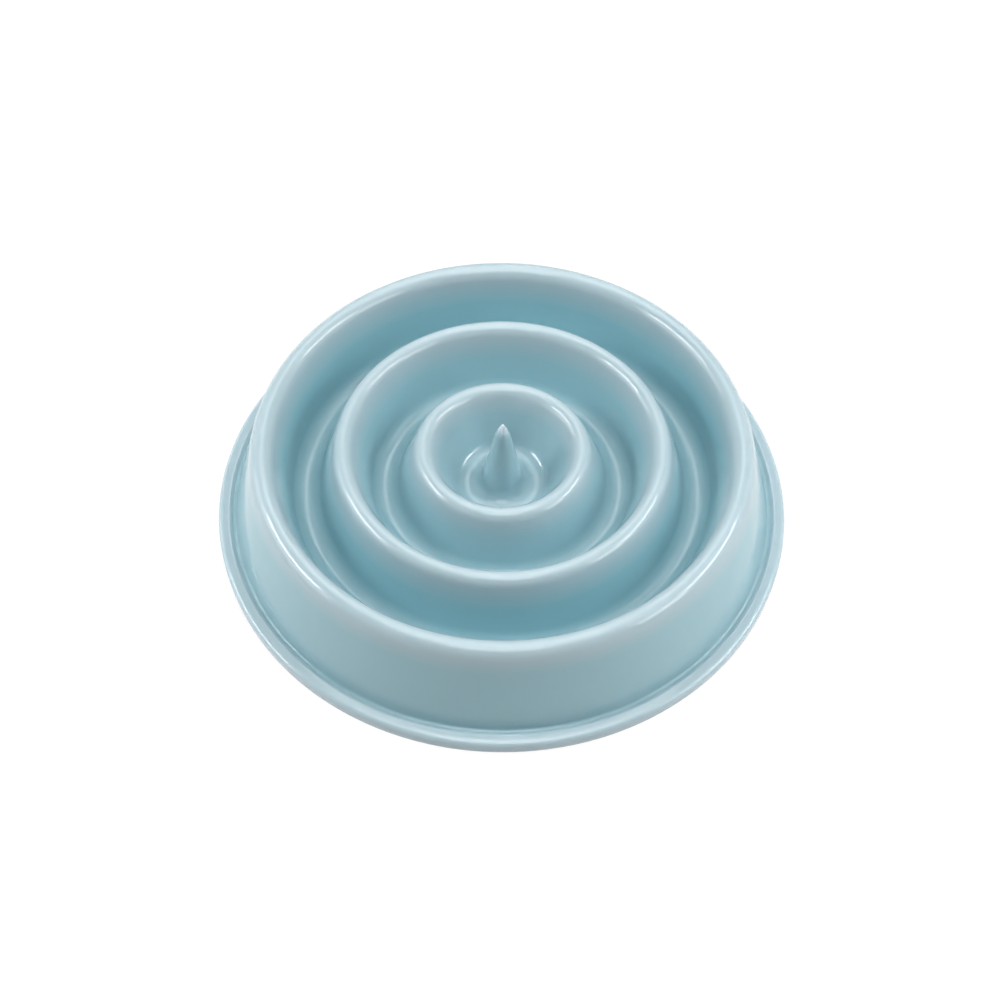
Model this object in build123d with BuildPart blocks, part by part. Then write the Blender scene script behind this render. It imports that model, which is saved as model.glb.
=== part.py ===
from build123d import *
import os
from collections import namedtuple
from itertools import pairwise
from math import acos, atan2, degrees, hypot

# Slow feeder bowl: a moulded shell that ripples like rings on water, on push-in rubber feet.
# Millimetres, +Z up. The origin is on the table, under the middle of the bowl.

# Shell. Heights in this group and the next two are above the lip's bottom edge.
wall = 2.0
table_gap = 1.0
ring_pitch = 38.1
inner_ring_height = 41.6
outer_ring_height = 45.5
ring_rounding = 4.6
rim_height = 49.0
rim_rounding = 5.5
skirt_spread = 18.2
channel_floor_height = 14.0
channel_rounding = 7.0

# Spike in the middle, with the rough point that the moulding gate leaves on it
spike_shoulder_height = 52.4
spike_shoulder_radius = 3.5
spike_shoulder_rounding = 2.2
spike_tip_length = 5.6
spike_tip_rounding = 0.5
dimple_radius = 17.0
dimple_rounding = 7.5

# Lip round the base, and the gutter between it and the skirt
lip_height = 6.4
lip_width = 6.2
lip_inner_rounding = 1.4
lip_outer_rounding = 2.2
lip_bottom_rounding = 0.6
gutter_width = 2.6
gutter_depth = 1.4

# Rubber feet, and the posts under the outer channel that hold them
foot_count = 6
post_radius = 8.0
foot_pad_height = 4.0
foot_edge_rounding = 1.0
foot_stem_radius = 3.6
foot_stem_rounding = 1.2
socket_clearance = 0.05
socket_end_gap = 1.0

# Depth that the mould's core runs on below the lip
core_overrun = 6.0

# Crests and channels lie at equal steps from the axis
inner_ring_radius = ring_pitch
outer_ring_radius = 2 * ring_pitch
rim_radius = 3 * ring_pitch
inner_channel_radius = (inner_ring_radius + outer_ring_radius) / 2
outer_channel_radius = (outer_ring_radius + rim_radius) / 2
gutter_radius = rim_radius + skirt_spread
flange_radius = gutter_radius + gutter_width / 2 + lip_width
gutter_floor_height = lip_height - gutter_depth
channel_underside = table_gap + channel_floor_height - wall
socket_depth = channel_underside - foot_pad_height

Bend = namedtuple("Bend", "radius height rounding side")


def crest(radius, height, rounding):
    """A rounding that the section passes over, given by its top."""
    return Bend(radius, height - rounding, rounding, 1)


def valley(radius, height, rounding):
    """A rounding that the section passes under, given by its lowest point."""
    return Bend(radius, height + rounding, rounding, -1)


def wall_direction(first, second):
    """Direction, in degrees, square to the straight wall between two bends, on its upper side."""
    run = second.radius - first.radius
    rise = second.height - first.height
    reach = first.side * first.rounding - second.side * second.rounding
    return degrees(atan2(rise, run) + acos(reach / hypot(run, rise)))


# Bends of the shell's upper face, from the spike's tip out to the lip
bends = [
    crest(0, spike_shoulder_height + spike_tip_length, spike_tip_rounding),
    crest(spike_shoulder_radius - spike_shoulder_rounding, spike_shoulder_height, spike_shoulder_rounding),
    valley(dimple_radius, channel_floor_height, dimple_rounding),
    crest(inner_ring_radius, inner_ring_height, ring_rounding),
    valley(inner_channel_radius, channel_floor_height, channel_rounding),
    crest(outer_ring_radius, outer_ring_height, ring_rounding),
    valley(outer_channel_radius, channel_floor_height, channel_rounding),
    crest(rim_radius, rim_height, rim_rounding),
    valley(gutter_radius, gutter_floor_height, gutter_width / 2),
    crest(flange_radius - lip_width + lip_inner_rounding, lip_height, lip_inner_rounding),
    crest(flange_radius - lip_outer_rounding, lip_height, lip_outer_rounding),
]
# The face looks straight up at the tip and straight out at the end of the lip
directions = [90.0] + [wall_direction(first, second) for first, second in pairwise(bends)] + [0.0]

section_plane = Plane(origin=(0, 0, table_gap), x_dir=(1, 0, 0), z_dir=(0, -1, 0))
post_plane = Plane.XY.offset(foot_pad_height)

# The moulding's section with nothing hollowed out
with BuildSketch(section_plane) as blank_section:
    with BuildLine():
        arcs = []
        for bend, (start, end) in zip(bends, pairwise(directions)):
            start_angle = start if bend.side > 0 else start + 180
            arcs.append(CenterArc((bend.radius, bend.height), bend.rounding, start_angle, end - start))
        for before, after in pairwise(arcs):
            Line(before @ 1, after @ 0)
        Polyline(arcs[-1] @ 1, (flange_radius, -core_overrun), (0, -core_overrun), arcs[0] @ 0)
    make_face()

# The mould's core fills the underside, one wall thickness in, and has a pocket for each post
with BuildSketch(section_plane) as core_section:
    add(blank_section.sketch_local)
    mirror(about=Plane.YZ)
    offset(amount=-wall, mode=Mode.REPLACE)
    split(bisect_by=Plane.YZ, keep=Keep.TOP)

with BuildPart() as core:
    revolve(core_section.sketch, axis=Axis.Z)
    with BuildSketch(post_plane):
        with PolarLocations(outer_channel_radius, foot_count):
            Circle(post_radius)
    extrude(amount=rim_height, mode=Mode.SUBTRACT)

# The shell is the blank less the core, cut level with the lip's bottom edge
with BuildPart() as bowl_shell:
    revolve(blank_section.sketch, axis=Axis.Z)
    add(core.part, mode=Mode.SUBTRACT)
    split(bisect_by=Plane.XY.offset(table_gap), keep=Keep.TOP)
    with BuildSketch(post_plane):
        with PolarLocations(outer_channel_radius, foot_count):
            Circle(foot_stem_radius + socket_clearance)
    extrude(amount=socket_depth, mode=Mode.SUBTRACT)
    lowest_edges = bowl_shell.edges().filter_by(GeomType.CIRCLE).group_by(Axis.Z)[0]
    fillet(lowest_edges.sort_by(SortBy.RADIUS)[-1], radius=lip_bottom_rounding)

os.makedirs("parts", exist_ok=True)
bowl_shell.part.label = "bowl_shell"
export_step(bowl_shell.part, "parts/bowl_shell.step")

# Each foot is a pad as wide as its post, with a stem that is pressed into the post's socket
foot_places = PolarLocations(outer_channel_radius, foot_count).locations
for number, place in enumerate(foot_places, start=1):
    with BuildPart() as rubber_foot:
        with BuildSketch(Plane(place)):
            Circle(post_radius)
        extrude(amount=foot_pad_height)
        fillet(rubber_foot.edges().sort_by(Axis.Z)[0], radius=foot_edge_rounding)
        with BuildSketch(rubber_foot.faces().sort_by(Axis.Z)[-1]):
            Circle(foot_stem_radius)
        extrude(amount=socket_depth - socket_end_gap)
        fillet(rubber_foot.edges().sort_by(Axis.Z)[-1], radius=foot_stem_rounding)
    rubber_foot.part.label = f"rubber_foot_{number}"
    export_step(rubber_foot.part, f"parts/rubber_foot_{number}.step")
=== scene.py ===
from collections import namedtuple
from itertools import pairwise
from math import acos, atan2, cos, hypot, pi, sin, tau

import bpy
from mathutils import Matrix, Vector


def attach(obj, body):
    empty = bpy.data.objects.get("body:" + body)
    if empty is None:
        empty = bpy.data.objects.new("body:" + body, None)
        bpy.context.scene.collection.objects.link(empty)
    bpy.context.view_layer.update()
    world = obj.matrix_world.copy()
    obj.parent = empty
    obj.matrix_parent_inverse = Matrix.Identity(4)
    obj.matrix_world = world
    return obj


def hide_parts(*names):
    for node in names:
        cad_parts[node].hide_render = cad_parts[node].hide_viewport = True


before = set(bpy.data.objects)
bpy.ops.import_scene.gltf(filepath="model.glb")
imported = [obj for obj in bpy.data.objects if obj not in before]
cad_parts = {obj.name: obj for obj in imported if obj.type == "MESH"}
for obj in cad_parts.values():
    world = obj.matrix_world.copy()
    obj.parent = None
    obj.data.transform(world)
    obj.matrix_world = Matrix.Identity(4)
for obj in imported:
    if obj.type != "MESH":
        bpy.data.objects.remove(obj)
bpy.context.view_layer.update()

MM = 0.001

# Sizes of the bowl in millimetres, as in the CAD source. The shell's heights are above the lip's bottom edge.
wall = 2.0
table_gap = 1.0
ring_pitch = 38.1
inner_ring_height = 41.6
outer_ring_height = 45.5
ring_rounding = 4.6
rim_height = 49.0
rim_rounding = 5.5
skirt_spread = 18.2
channel_floor_height = 14.0
channel_rounding = 7.0
spike_shoulder_height = 52.4
spike_shoulder_radius = 3.5
spike_shoulder_rounding = 2.2
spike_tip_length = 5.6
spike_tip_rounding = 0.5
dimple_radius = 17.0
dimple_rounding = 7.5
lip_height = 6.4
lip_width = 6.2
lip_inner_rounding = 1.4
lip_outer_rounding = 2.2
lip_bottom_rounding = 0.6
gutter_width = 2.6
gutter_depth = 1.4
foot_count = 6
post_radius = 8.0
foot_pad_height = 4.0
foot_stem_radius = 3.6
socket_clearance = 0.05
core_overrun = 6.0

rim_radius = 3 * ring_pitch
outer_channel_radius = 2.5 * ring_pitch
inner_channel_radius = 1.5 * ring_pitch
gutter_radius = rim_radius + skirt_spread
flange_radius = gutter_radius + gutter_width / 2 + lip_width
gutter_floor_height = lip_height - gutter_depth
channel_underside = table_gap + channel_floor_height - wall

# How finely the shell is turned. A ridge has an even number of steps, so that one point is its top.
# The weld distance is in metres, and the angle of sharp edges in radians.
shell_sides = 288
face_steps = 14
ridge_steps = 20
core_steps = 6
post_sides = 48
tear_steps = 12
weld_distance = 1e-6
sharp_edge_angle = 0.7

# Roughness of the torn tip: its depth in millimetres, its lumps for each metre, and what is taken off
# the lumps' three values, so that they push to either side but only down
tear_depth = 1.0
tear_lumps = 800.0
tear_lean = (0.5, 0.5, 1.0)

Bend = namedtuple("Bend", "radius height rounding side")


def crest(radius, height, rounding):
    """A rounding that the section passes over, given by its top."""
    return Bend(radius, height - rounding, rounding, 1)


def valley(radius, height, rounding):
    """A rounding that the section passes under, given by its lowest point."""
    return Bend(radius, height + rounding, rounding, -1)


def wall_direction(first, second):
    """Direction square to the straight wall between two bends, on its upper side."""
    run = second.radius - first.radius
    rise = second.height - first.height
    reach = first.side * first.rounding - second.side * second.rounding
    return atan2(rise, run) + acos(reach / hypot(run, rise))


def inset(bends, directions, depth):
    """The bends of a face that lies a wall's depth under this one. Too small a rounding turns sharp."""
    inner = []
    for bend, (start, end) in zip(bends, pairwise(directions)):
        rounding = bend.rounding - bend.side * depth
        if rounding > 0:
            inner.append(bend._replace(rounding=rounding))
        else:
            reach = rounding / (1 + cos(end - start))
            corner_radius = bend.radius + reach * (cos(start) + cos(end))
            corner_height = bend.height + reach * (sin(start) + sin(end))
            inner.append(Bend(corner_radius, corner_height, 0, 1))
    return inner


def rounding_points(bend, start, end, steps):
    """Points along a plain rounding, or the one point of a sharp corner."""
    count = steps if bend.rounding else 0
    reach = bend.side * bend.rounding
    points = []
    for step in range(count + 1):
        angle = start + (end - start) * step / max(count, 1)
        points.append((bend.radius + reach * cos(angle), bend.height + reach * sin(angle)))
    return points


def eased_points(bend, start, end):
    """Points over a ridge that eases into its walls, with top and walls where a plain rounding has them."""
    half_turn = (end - start) / 2
    middle = start + half_turn
    places = [Vector((0, 0))]
    for step in range(ridge_steps):
        share = (step + 0.5) / ridge_steps
        angle = start + 2 * half_turn * (share - sin(tau * share) / tau)
        places.append(places[-1] + Vector((sin(angle), -cos(angle))))
    up = Vector((cos(middle), sin(middle)))
    along = Vector((sin(middle), -cos(middle)))
    summit = places[ridge_steps // 2]
    # The two walls would meet in a corner. The ridge is scaled to lie as far under it as the plain rounding.
    corner_rise = summit.dot(along) * abs(sin(half_turn) / cos(half_turn)) - summit.dot(up)
    scale = bend.rounding * (1 / cos(half_turn) - 1) / corner_rise
    top = Vector((bend.radius, bend.height)) + bend.rounding * up
    return [tuple(top + (place - summit) * scale) for place in places]


def section_points(bends, directions, steps, eased=()):
    """Points of a section, in millimetres, along each bend in turn."""
    points = []
    for bend, (start, end) in zip(bends, pairwise(directions)):
        if bend in eased:
            points += eased_points(bend, start, end)
        else:
            points += rounding_points(bend, start, end, steps)
    return points


inner_ring = crest(ring_pitch, inner_ring_height, ring_rounding)
outer_ring = crest(2 * ring_pitch, outer_ring_height, ring_rounding)
rim = crest(rim_radius, rim_height, rim_rounding)
# Bends of the shell's upper face, from the spike's tip out to the lip
face_bends = [
    crest(0, spike_shoulder_height + spike_tip_length, spike_tip_rounding),
    crest(spike_shoulder_radius - spike_shoulder_rounding, spike_shoulder_height, spike_shoulder_rounding),
    valley(dimple_radius, channel_floor_height, dimple_rounding),
    inner_ring,
    valley(inner_channel_radius, channel_floor_height, channel_rounding),
    outer_ring,
    valley(outer_channel_radius, channel_floor_height, channel_rounding),
    rim,
    valley(gutter_radius, gutter_floor_height, gutter_width / 2),
    crest(flange_radius - lip_width + lip_inner_rounding, lip_height, lip_inner_rounding),
    crest(flange_radius - lip_outer_rounding, lip_height, lip_outer_rounding),
]
wall_directions = [wall_direction(first, second) for first, second in pairwise(face_bends)]
face_directions = [pi / 2, *wall_directions, 0.0]
# At the axis the core's section meets its own mirror image
core_directions = [pi - wall_directions[0], *wall_directions, 0.0]
bottom_edge = Bend(flange_radius - lip_bottom_rounding, lip_bottom_rounding, lip_bottom_rounding, 1)

blank_points = section_points(
    [*face_bends, bottom_edge], [*face_directions, -pi / 2], face_steps, eased=(inner_ring, outer_ring, rim))
blank_points.append((0, 0))
# The torn tip has points down its straight wall too, so that it can be roughened
tip_end, shoulder_start = [Vector(point) for point in blank_points[face_steps:face_steps + 2]]
blank_points[face_steps + 1:face_steps + 1] = [
    tuple(tip_end.lerp(shoulder_start, step / tear_steps)) for step in range(1, tear_steps)]
core_points = section_points(inset(face_bends, core_directions, wall), core_directions, core_steps)
core_points += [(core_points[-1][0], -core_overrun), (0, -core_overrun)]


def add_node(tree, kind, inputs=None, **settings):
    """A new node with its settings, and each input linked to a socket or set to a value."""
    node = tree.nodes.new(kind)
    for name, value in settings.items():
        setattr(node, name, value)
    for name, value in (inputs or {}).items():
        if isinstance(value, bpy.types.NodeSocket):
            tree.links.new(value, node.inputs[name])
        else:
            node.inputs[name].default_value = value
    return node


def combined(tree, operation, first, second):
    """Two numbers joined by a Math operation."""
    return add_node(tree, "ShaderNodeMath", {0: first, 1: second}, operation=operation).outputs[0]


def spread(tree, value, low, high, new_low, new_high):
    """A value carried from one span to another, held at the ends."""
    spans = {"From Min": low, "From Max": high, "To Min": new_low, "To Max": new_high}
    return add_node(tree, "ShaderNodeMapRange", {"Value": value, **spans}).outputs["Result"]


def geometry_tree(name, sockets):
    """An empty Geometry Nodes tree with these named inputs: the tree, its input node and the identifiers."""
    tree = bpy.data.node_groups.new(name, "GeometryNodeTree")
    identifiers = {}
    for label, kind in sockets.items():
        identifiers[label] = tree.interface.new_socket(label, in_out="INPUT", socket_type=kind).identifier
    tree.interface.new_socket("Geometry", in_out="OUTPUT", socket_type="NodeSocketGeometry")
    return tree, tree.nodes.new("NodeGroupInput"), identifiers


def turning_group():
    """Turns a section about the Z axis into a closed solid: a grid of section points by sides, bent round."""
    tree, given, _ = geometry_tree("turned_section", {
        "Section": "NodeSocketGeometry",
        "Sides": "NodeSocketInt",
    })
    section = given.outputs["Section"]
    sides = given.outputs["Sides"]
    rows = add_node(tree, "GeometryNodeAttributeDomainSize", {"Geometry": section}).outputs["Point Count"]
    columns = add_node(tree, "FunctionNodeIntegerMath", {0: sides, 1: 1}, operation="ADD").outputs[0]
    grid = add_node(tree, "GeometryNodeMeshGrid", {"Vertices X": rows, "Vertices Y": columns})
    index = tree.nodes.new("GeometryNodeInputIndex").outputs[0]
    row = add_node(tree, "FunctionNodeIntegerMath", {0: index, 1: columns}, operation="DIVIDE_FLOOR")
    column = add_node(tree, "FunctionNodeIntegerMath", {0: index, 1: columns}, operation="MODULO")
    place = tree.nodes.new("GeometryNodeInputPosition").outputs[0]
    on_section = add_node(
        tree, "GeometryNodeSampleIndex", {"Geometry": section, "Index": row.outputs[0]},
        data_type="FLOAT_VECTOR")
    tree.links.new(place, on_section.inputs["Value"])
    share = combined(tree, "DIVIDE", column.outputs[0], sides)
    angle = combined(tree, "MULTIPLY", share, tau)
    turned = add_node(
        tree, "ShaderNodeVectorRotate", {"Vector": on_section.outputs["Value"], "Angle": angle},
        rotation_type="Z_AXIS")
    moved = add_node(
        tree, "GeometryNodeSetPosition", {"Geometry": grid.outputs["Mesh"], "Position": turned.outputs[0]})
    welded = add_node(
        tree, "GeometryNodeMergeByDistance", {"Geometry": moved.outputs[0], "Distance": weld_distance})
    add_node(tree, "NodeGroupOutput", {"Geometry": welded.outputs[0]})
    return tree


def shell_tree():
    """The shell: the turned blank less the turned core, which has a pocket for each post, and the sockets."""
    tree, given, identifiers = geometry_tree("rippled_shell", {
        "Blank section": "NodeSocketObject",
        "Core section": "NodeSocketObject",
        "Sides": "NodeSocketInt",
        "Posts": "NodeSocketInt",
        "Post circle radius": "NodeSocketFloat",
        "Post radius": "NodeSocketFloat",
        "Post length": "NodeSocketFloat",
        "Post bottom": "NodeSocketFloat",
        "Socket radius": "NodeSocketFloat",
        "Socket depth": "NodeSocketFloat",
        "Tear bottom": "NodeSocketFloat",
        "Tear top": "NodeSocketFloat",
        "Tear depth": "NodeSocketFloat",
        "Tear lumps": "NodeSocketFloat",
        "Plastic": "NodeSocketMaterial",
    })
    values = given.outputs
    turning = turning_group()

    def solid(label):
        """The turned solid of a section."""
        section = add_node(tree, "GeometryNodeObjectInfo", {"Object": values[label]})
        turned = add_node(tree, "GeometryNodeGroup", node_tree=turning)
        tree.links.new(section.outputs["Geometry"], turned.inputs["Section"])
        tree.links.new(values["Sides"], turned.inputs["Sides"])
        return turned.outputs[0]

    def ring_of_rods(radius, length):
        """Upright rods on the post circle, all standing on the posts' bottom plane."""
        rod = add_node(
            tree, "GeometryNodeMeshCylinder", {"Vertices": post_sides, "Radius": radius, "Depth": length})
        half = combined(tree, "DIVIDE", length, 2.0)
        middle = combined(tree, "ADD", half, values["Post bottom"])
        lift = add_node(tree, "ShaderNodeCombineXYZ", {"Z": middle})
        circle = add_node(
            tree, "GeometryNodeMeshCircle",
            {"Vertices": values["Posts"], "Radius": values["Post circle radius"]})
        raised = add_node(
            tree, "GeometryNodeTransform", {"Geometry": circle.outputs[0], "Translation": lift.outputs[0]})
        rods = add_node(
            tree, "GeometryNodeInstanceOnPoints",
            {"Points": raised.outputs[0], "Instance": rod.outputs["Mesh"]})
        return add_node(tree, "GeometryNodeRealizeInstances", {"Geometry": rods.outputs[0]}).outputs[0]

    def less(body, tool):
        """A solid with another one cut out of it."""
        cut = add_node(
            tree, "GeometryNodeMeshBoolean", {0: body}, operation="DIFFERENCE", solver="MANIFOLD")
        tree.links.new(tool, cut.inputs[1])
        return cut.outputs[0]

    core = less(solid("Core section"), ring_of_rods(values["Post radius"], values["Post length"]))
    shell = less(solid("Blank section"), core)
    shell = less(shell, ring_of_rods(values["Socket radius"], values["Socket depth"]))
    # The cuts leave slivers along the lip's bottom edge, whose corners are merged
    merged = add_node(tree, "GeometryNodeMergeByDistance", {"Geometry": shell, "Distance": weld_distance})
    # The torn tip is pushed about sideways and down, more so towards its top
    place = tree.nodes.new("GeometryNodeInputPosition").outputs[0]
    height = add_node(tree, "ShaderNodeSeparateXYZ", {"Vector": place}).outputs["Z"]
    reach = spread(tree, height, values["Tear bottom"], values["Tear top"], 0.0, values["Tear depth"])
    lumps = add_node(tree, "ShaderNodeTexNoise", {"Vector": place, "Scale": values["Tear lumps"]})
    push = add_node(
        tree, "ShaderNodeVectorMath", {0: lumps.outputs["Color"], 1: tear_lean}, operation="SUBTRACT")
    offset = add_node(tree, "ShaderNodeVectorMath", {0: push.outputs[0], "Scale": reach}, operation="SCALE")
    torn = add_node(
        tree, "GeometryNodeSetPosition", {"Geometry": merged.outputs[0], "Offset": offset.outputs[0]})
    smooth = add_node(
        tree, "GeometryNodeSetShadeSmooth", {"Geometry": torn.outputs[0], "Shade Smooth": True})
    edge_angle = tree.nodes.new("GeometryNodeInputMeshEdgeAngle")
    sharp = add_node(
        tree, "FunctionNodeCompare", {0: edge_angle.outputs["Unsigned Angle"], 1: sharp_edge_angle},
        data_type="FLOAT", operation="GREATER_THAN")
    creased = add_node(
        tree, "GeometryNodeSetShadeSmooth",
        {"Geometry": smooth.outputs[0], "Selection": sharp.outputs[0], "Shade Smooth": False}, domain="EDGE")
    realized = add_node(tree, "GeometryNodeRealizeInstances", {"Geometry": creased.outputs[0]})
    painted = add_node(
        tree, "GeometryNodeSetMaterial", {"Geometry": realized.outputs[0], "Material": values["Plastic"]})
    add_node(tree, "NodeGroupOutput", {"Geometry": painted.outputs[0]})
    return tree, identifiers


def linked(name, data):
    """A new object in the scene."""
    thing = bpy.data.objects.new(name, data)
    bpy.context.scene.collection.objects.link(thing)
    return thing


def section_object(name, points):
    """A section as a chain of points in the XZ plane, in metres over the table."""
    mesh = bpy.data.meshes.new(name)
    corners = [(radius * MM, 0, (height + table_gap) * MM) for radius, height in points]
    mesh.from_pydata(corners, list(pairwise(range(len(corners)))), [])
    return linked(name, mesh)


def baked(name, maker, tree):
    """The modifier's result as an object with a plain mesh of its own."""
    graph = bpy.context.evaluated_depsgraph_get()
    mesh = bpy.data.meshes.new_from_object(maker.evaluated_get(graph))
    mesh.name = name
    bpy.data.objects.remove(maker)
    bpy.data.node_groups.remove(tree)
    return linked(name, mesh)


def rippled_shell(plastic):
    """The moulded shell, made by its tree and turned into a plain mesh."""
    tree, identifiers = shell_tree()
    blank = section_object("blank_section", blank_points)
    core = section_object("core_section", core_points)
    maker = linked("shell_maker", bpy.data.meshes.new("shell_maker"))
    modifier = maker.modifiers.new("rippled_shell", "NODES")
    modifier.node_group = tree
    sizes = {
        "Blank section": blank,
        "Core section": core,
        "Sides": shell_sides,
        "Posts": foot_count,
        "Post circle radius": outer_channel_radius * MM,
        "Post radius": post_radius * MM,
        "Post length": rim_height * MM,
        "Post bottom": foot_pad_height * MM,
        "Socket radius": (foot_stem_radius + socket_clearance) * MM,
        "Socket depth": (channel_underside - foot_pad_height) * MM,
        "Tear bottom": (table_gap + spike_shoulder_height) * MM,
        "Tear top": (table_gap + spike_shoulder_height + spike_tip_length) * MM,
        "Tear depth": tear_depth * MM,
        "Tear lumps": tear_lumps,
        "Plastic": plastic,
    }
    for label, value in sizes.items():
        modifier[identifiers[label]] = value
    shell = baked("rippled_shell", maker, tree)
    bpy.data.objects.remove(blank)
    bpy.data.objects.remove(core)
    return shell


# Looks of the plastic. Colours are in 0 to 255 screen values, and each clouds from the first to the second.
# Lengths and heights over the table are in millimetres, and lumps are a noise's features for each metre.
deep_colours = ((132, 176, 186), (136, 179, 189))
# The second pair is painted light: a whiter teal that is mixed in where highlight and sheen fall
painted_light_colours = ((163, 183, 190), (167, 186, 193))
cloud_lumps = 14.0
# Painted highlight is full within the first depth under a ridge's top and gone by the second. On floors it is
# full under the first height and gone above the second.
painted_light_full_below_top = 4.0
painted_light_end_below_top = 17.0
spike_foot_radius = 9.0
skirt_fade_width = 2.0
painted_light_full_floor_height = 15.0
painted_light_end_floor_height = 20.0
# How far the colour goes towards the whiter painted light colour at these places
outer_channel_painted_light = 0.05
dimple_painted_light = 0.5
skirt_painted_light = 0.38
floor_painted_light = 0.35
plastic_roughness = (0.05, 0.08)
plastic_roughness_lumps = 90.0
plastic_refraction = 1.5
plastic_scatter_depth = 4.0
skin_lumps = 420.0
skin_strength = 0.04
skin_depth = 0.2

# Looks of the torn tip
tear_colours = ((174, 184, 192), (206, 222, 229))
tear_speck_lumps = 1100.0
tear_speck_span = (0.35, 0.65)
tear_start_height = 53.4
tear_full_height = 57.0
tear_edge_depth = 1.6
tear_edge_lumps = 700.0
tear_roughness = 0.6
tear_grain_lumps = 1500.0
tear_grain_strength = 0.9
tear_grain_depth = 0.6

# Looks of the rubber
rubber_colours = ((74, 77, 80), (96, 99, 102))
rubber_scuff_lumps = 260.0
rubber_roughness = (0.62, 0.8)
rubber_roughness_lumps = 180.0
rubber_grain_lumps = 2600.0
rubber_grain_strength = 0.25
rubber_grain_depth = 0.15

# Most of a noise's values lie in this span
noise_span = (0.3, 0.7)


def srgb(red, green, blue):
    """A colour given in 0 to 255 screen values, as linear light with alpha."""
    shares = [value / 255 for value in (red, green, blue)]
    return (*[s / 12.92 if s <= 0.04045 else ((s + 0.055) / 1.055) ** 2.4 for s in shares], 1.0)


def new_material(name):
    """A material with an empty tree."""
    material = bpy.data.materials.new(name)
    material.use_nodes = True
    material.node_tree.nodes.clear()
    return material, material.node_tree


def object_coordinates(tree):
    """Places in the object's own frame."""
    return tree.nodes.new("ShaderNodeTexCoord").outputs["Object"]


def noise(tree, coordinates, lumps, detail=2.0):
    """A noise's value at each place."""
    inputs = {"Vector": coordinates, "Scale": lumps, "Detail": detail}
    return add_node(tree, "ShaderNodeTexNoise", inputs).outputs[0]


def highest(tree, value, *others):
    """The highest of several numbers."""
    for other in others:
        value = combined(tree, "MAXIMUM", value, other)
    return value


def mixed(tree, factor, first, second):
    """A colour between two others."""
    # This node's sockets for numbers, vectors and colours share their names, so the colour ones go by number
    return add_node(tree, "ShaderNodeMix", {0: factor, 6: first, 7: second}, data_type="RGBA").outputs[2]


def clouded(tree, factor, colours):
    """A colour between two that are given in screen values."""
    first, second = colours
    return mixed(tree, factor, srgb(*first), srgb(*second))


def painted_light_share(tree, height, radius):
    """How much painted light the plastic has: a painted highlight by the ridges' tops with painted shade down
    their walls, more light in the middle, and painted light on floors, skirt and lip.
    """
    # The ridges' tops rise from the inner ring to the rim
    top = spread(
        tree, radius, ring_pitch * MM, rim_radius * MM,
        (inner_ring_height + table_gap) * MM, (rim_height + table_gap) * MM)
    below_top = combined(tree, "SUBTRACT", top, height)
    # Painted highlight near each ridge's top, fading to painted shade down its walls
    near_top = spread(tree, below_top, painted_light_end_below_top * MM, painted_light_full_below_top * MM, 0.0, 1.0)
    off_spike = spread(tree, radius, spike_foot_radius * MM, dimple_radius * MM, 0.0, 1.0)
    on_ridge = combined(tree, "MULTIPLY", near_top, off_spike)
    inwards = spread(
        tree, radius, outer_channel_radius * MM, dimple_radius * MM,
        outer_channel_painted_light, dimple_painted_light)
    # Painted sheen on the skirt, and painted light on the channel floors and the lip's top
    on_skirt = spread(
        tree, radius, rim_radius * MM, (rim_radius + skirt_fade_width) * MM, 0.0, skirt_painted_light)
    on_floor = spread(tree, height, painted_light_end_floor_height * MM, painted_light_full_floor_height * MM, 0.0, floor_painted_light)
    on_lip = spread(tree, radius, gutter_radius * MM, (gutter_radius + gutter_width / 2) * MM, 0.0, 1.0)
    return highest(tree, on_ridge, inwards, on_skirt, on_floor, on_lip)


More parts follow.
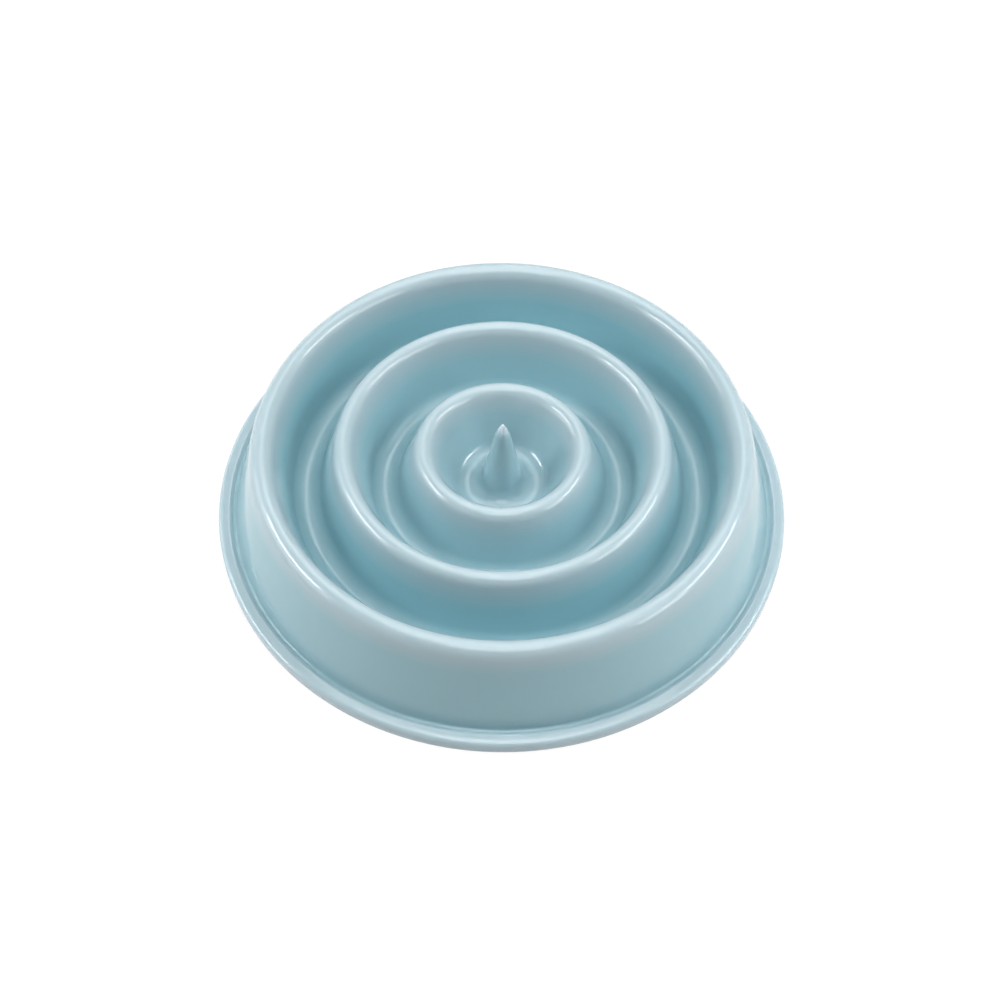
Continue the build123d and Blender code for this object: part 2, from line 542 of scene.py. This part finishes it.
def shell_plastic():
    """Glossy pale teal plastic with painted light on its ridge tops, floors, skirt and lip, whitened and
    rough where the moulding gate was torn off the spike.
    """
    material, tree = new_material("pale_teal_plastic")
    at = object_coordinates(tree)
    axes = add_node(tree, "ShaderNodeSeparateXYZ", {"Vector": at}).outputs
    height = axes["Z"]
    flat = add_node(tree, "ShaderNodeCombineXYZ", {"X": axes["X"], "Y": axes["Y"]}).outputs[0]
    radius = add_node(tree, "ShaderNodeVectorMath", {0: flat}, operation="LENGTH").outputs["Value"]
    ragged = combined(tree, "MULTIPLY", noise(tree, at, tear_edge_lumps, detail=3.0), tear_edge_depth * MM)
    ragged_height = combined(tree, "ADD", height, ragged)
    torn = spread(tree, ragged_height, tear_start_height * MM, tear_full_height * MM, 0.0, 1.0)
    cloud = noise(tree, at, cloud_lumps)
    deep = clouded(tree, cloud, deep_colours)
    painted_light_colour = clouded(tree, cloud, painted_light_colours)
    # Painted light: the whiter colour is mixed in by the ridges' tops, in the middle, on floors, skirt and
    # lip
    painted_tone = mixed(tree, painted_light_share(tree, height, radius), deep, painted_light_colour)
    specks = spread(tree, noise(tree, at, tear_speck_lumps, detail=3.0), *tear_speck_span, 0.0, 1.0)
    colour = mixed(tree, torn, painted_tone, clouded(tree, specks, tear_colours))
    gloss = spread(tree, noise(tree, at, plastic_roughness_lumps), *noise_span, *plastic_roughness)
    roughness = highest(tree, gloss, combined(tree, "MULTIPLY", torn, tear_roughness))
    skin = add_node(tree, "ShaderNodeBump", {
        "Height": noise(tree, at, skin_lumps, detail=1.0),
        "Strength": skin_strength,
        "Distance": skin_depth * MM,
    })
    tear = add_node(tree, "ShaderNodeBump", {
        "Height": noise(tree, at, tear_grain_lumps, detail=4.0),
        "Strength": combined(tree, "MULTIPLY", torn, tear_grain_strength),
        "Distance": tear_grain_depth * MM,
        "Normal": skin.outputs[0],
    })
    plastic = add_node(tree, "ShaderNodeBsdfPrincipled", {
        "Base Color": colour,
        "Roughness": roughness,
        "IOR": plastic_refraction,
        "Normal": tear.outputs[0],
        "Subsurface Weight": 1.0,
        "Subsurface Scale": plastic_scatter_depth * MM,
        "Subsurface Radius": (1.0, 1.0, 1.0),
    })
    add_node(tree, "ShaderNodeOutputMaterial", {"Surface": plastic.outputs[0]})
    return material


def foot_rubber():
    """Dull grey rubber with a fine grain and paler scuffs."""
    material, tree = new_material("grey_foot_rubber")
    at = object_coordinates(tree)
    colour = clouded(tree, noise(tree, at, rubber_scuff_lumps, detail=4.0), rubber_colours)
    grain = add_node(tree, "ShaderNodeBump", {
        "Height": noise(tree, at, rubber_grain_lumps, detail=3.0),
        "Strength": rubber_grain_strength,
        "Distance": rubber_grain_depth * MM,
    })
    roughness = spread(tree, noise(tree, at, rubber_roughness_lumps), *noise_span, *rubber_roughness)
    rubber = add_node(tree, "ShaderNodeBsdfPrincipled", {
        "Base Color": colour,
        "Roughness": roughness,
        "Normal": grain.outputs[0],
    })
    add_node(tree, "ShaderNodeOutputMaterial", {"Surface": rubber.outputs[0]})
    return material


shell = rippled_shell(shell_plastic())
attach(shell, "root")
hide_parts("bowl_shell")

rubber = foot_rubber()
for number in range(1, foot_count + 1):
    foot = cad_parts[f"rubber_foot_{number}"]
    foot.data.materials.clear()
    foot.data.materials.append(rubber)

# White studio: the camera and mirror-like gloss see the floor and the backdrop as white
white_rays = ("Is Camera Ray", "Is Glossy Ray", "Is Transmission Ray")
floor_half_width = 4.0
floor_white = 0.94
floor_shadow_share = 0.08
floor_bounce_share = 0.8
backdrop_light = 0.02

# Lamps: each one's place and size in metres, and its power. All face a point just over the table.
softboxes = {
    "top_softbox": ((0.0, 0.0, 1.2), (0.8, 0.8), 4.7),
    "front_top_softbox": ((0.0, -0.41, 1.13), (0.5, 0.5), 2.9),
    "back_top_softbox": ((0.0, 0.41, 1.13), (0.5, 0.5), 2.1),
    "back_softbox": ((0.0, 0.85, 0.85), (0.5, 0.5), 2.0),
    "left_strip": ((-0.72, 0.0, 0.54), (0.45, 0.16), 3.0),
    "right_strip": ((0.72, 0.0, 0.54), (0.45, 0.16), 2.6),
    "left_softbox": ((-0.93, 0.0, 0.37), (0.9, 0.5), 3.3),
    "right_softbox": ((0.93, 0.0, 0.37), (0.9, 0.5), 1.2),
    "right_top_softbox": ((0.57, 0.0, 0.82), (0.9, 0.5), 1.5),
    "right_front_softbox": ((0.69, -0.4, 0.42), (0.3, 0.3), 1.3),
}
lamp_target = Vector((0.0, 0.0, 0.03))


def grey(share):
    """A grey of this brightness, with alpha."""
    return (share, share, share, 1.0)


def seen_as_white(tree):
    """1 on the rays that show the studio as white."""
    path = tree.nodes.new("ShaderNodeLightPath").outputs
    return highest(tree, *[path[ray] for ray in white_rays])


def studio_floor():
    """A plain white floor that keeps a faint shadow."""
    mesh = bpy.data.meshes.new("floor")
    far = floor_half_width
    corners = [(-far, -far, 0), (far, -far, 0), (far, far, 0), (-far, far, 0)]
    mesh.from_pydata(corners, [], [range(len(corners))])
    material, tree = new_material("white_floor")
    glow = add_node(tree, "ShaderNodeEmission", {"Strength": floor_white})
    shade = add_node(tree, "ShaderNodeBsdfDiffuse", {"Color": grey(floor_shadow_share)})
    shown = add_node(tree, "ShaderNodeAddShader", {0: glow.outputs[0], 1: shade.outputs[0]})
    bounce = add_node(tree, "ShaderNodeBsdfDiffuse", {"Color": grey(floor_bounce_share)})
    mix = add_node(
        tree, "ShaderNodeMixShader", {0: seen_as_white(tree), 1: bounce.outputs[0], 2: shown.outputs[0]})
    add_node(tree, "ShaderNodeOutputMaterial", {"Surface": mix.outputs[0]})
    mesh.materials.append(material)
    return linked("floor", mesh)


def studio_world():
    """A backdrop that is seen as white and hardly lights the bowl."""
    world = bpy.data.worlds.new("studio")
    world.use_nodes = True
    tree = world.node_tree
    background = tree.nodes["Background"]
    background.inputs["Color"].default_value = grey(1.0)
    strength = spread(tree, seen_as_white(tree), 0.0, 1.0, backdrop_light, 1.0)
    tree.links.new(strength, background.inputs["Strength"])
    bpy.context.scene.world = world


def softbox(name, place, size, power):
    """A rectangular studio lamp, turned to the bowl."""
    lamp = bpy.data.lights.new(name, "AREA")
    lamp.shape = "RECTANGLE"
    lamp.size, lamp.size_y = size
    lamp.energy = power
    box = linked(name, lamp)
    box.location = place
    box.rotation_euler = (lamp_target - Vector(place)).to_track_quat("-Z", "Y").to_euler()


studio_floor()
studio_world()
for lamp_name, settings in softboxes.items():
    softbox(lamp_name, *settings)

# Camera, by its distance, tilt, roll and framing in the photograph. Lengths are shares of the flange's
# radius, and angles are in radians.
camera_distance_share = 5.0
camera_tilt = 0.93703
camera_roll = 0.01134
camera_shift_right_share = 0.00645
camera_shift_up_share = 0.00816
flange_radius_pixels = 279.296
picture_width_pixels = 1000
sensor_width = 36.0


def studio_camera():
    """The camera at the photograph's angle."""
    view = Vector((0, cos(camera_tilt), -sin(camera_tilt)))
    right = Vector((1, 0, 0))
    up = Vector((0, sin(camera_tilt), cos(camera_tilt)))
    place = -camera_distance_share * view - camera_shift_right_share * right - camera_shift_up_share * up
    place = place * flange_radius * MM + Vector((0, 0, table_gap * MM))
    rolled_right = cos(camera_roll) * right + sin(camera_roll) * up
    rolled_up = cos(camera_roll) * up - sin(camera_roll) * right
    turn = Matrix((rolled_right, rolled_up, -view)).transposed().to_4x4()
    data = bpy.data.cameras.new("camera")
    data.sensor_width = sensor_width
    data.lens = camera_distance_share * flange_radius_pixels / picture_width_pixels * sensor_width
    camera = linked("camera", data)
    camera.matrix_world = Matrix.Translation(place) @ turn
    bpy.context.scene.camera = camera


studio_camera()
bpy.context.scene.view_settings.view_transform = "Standard"
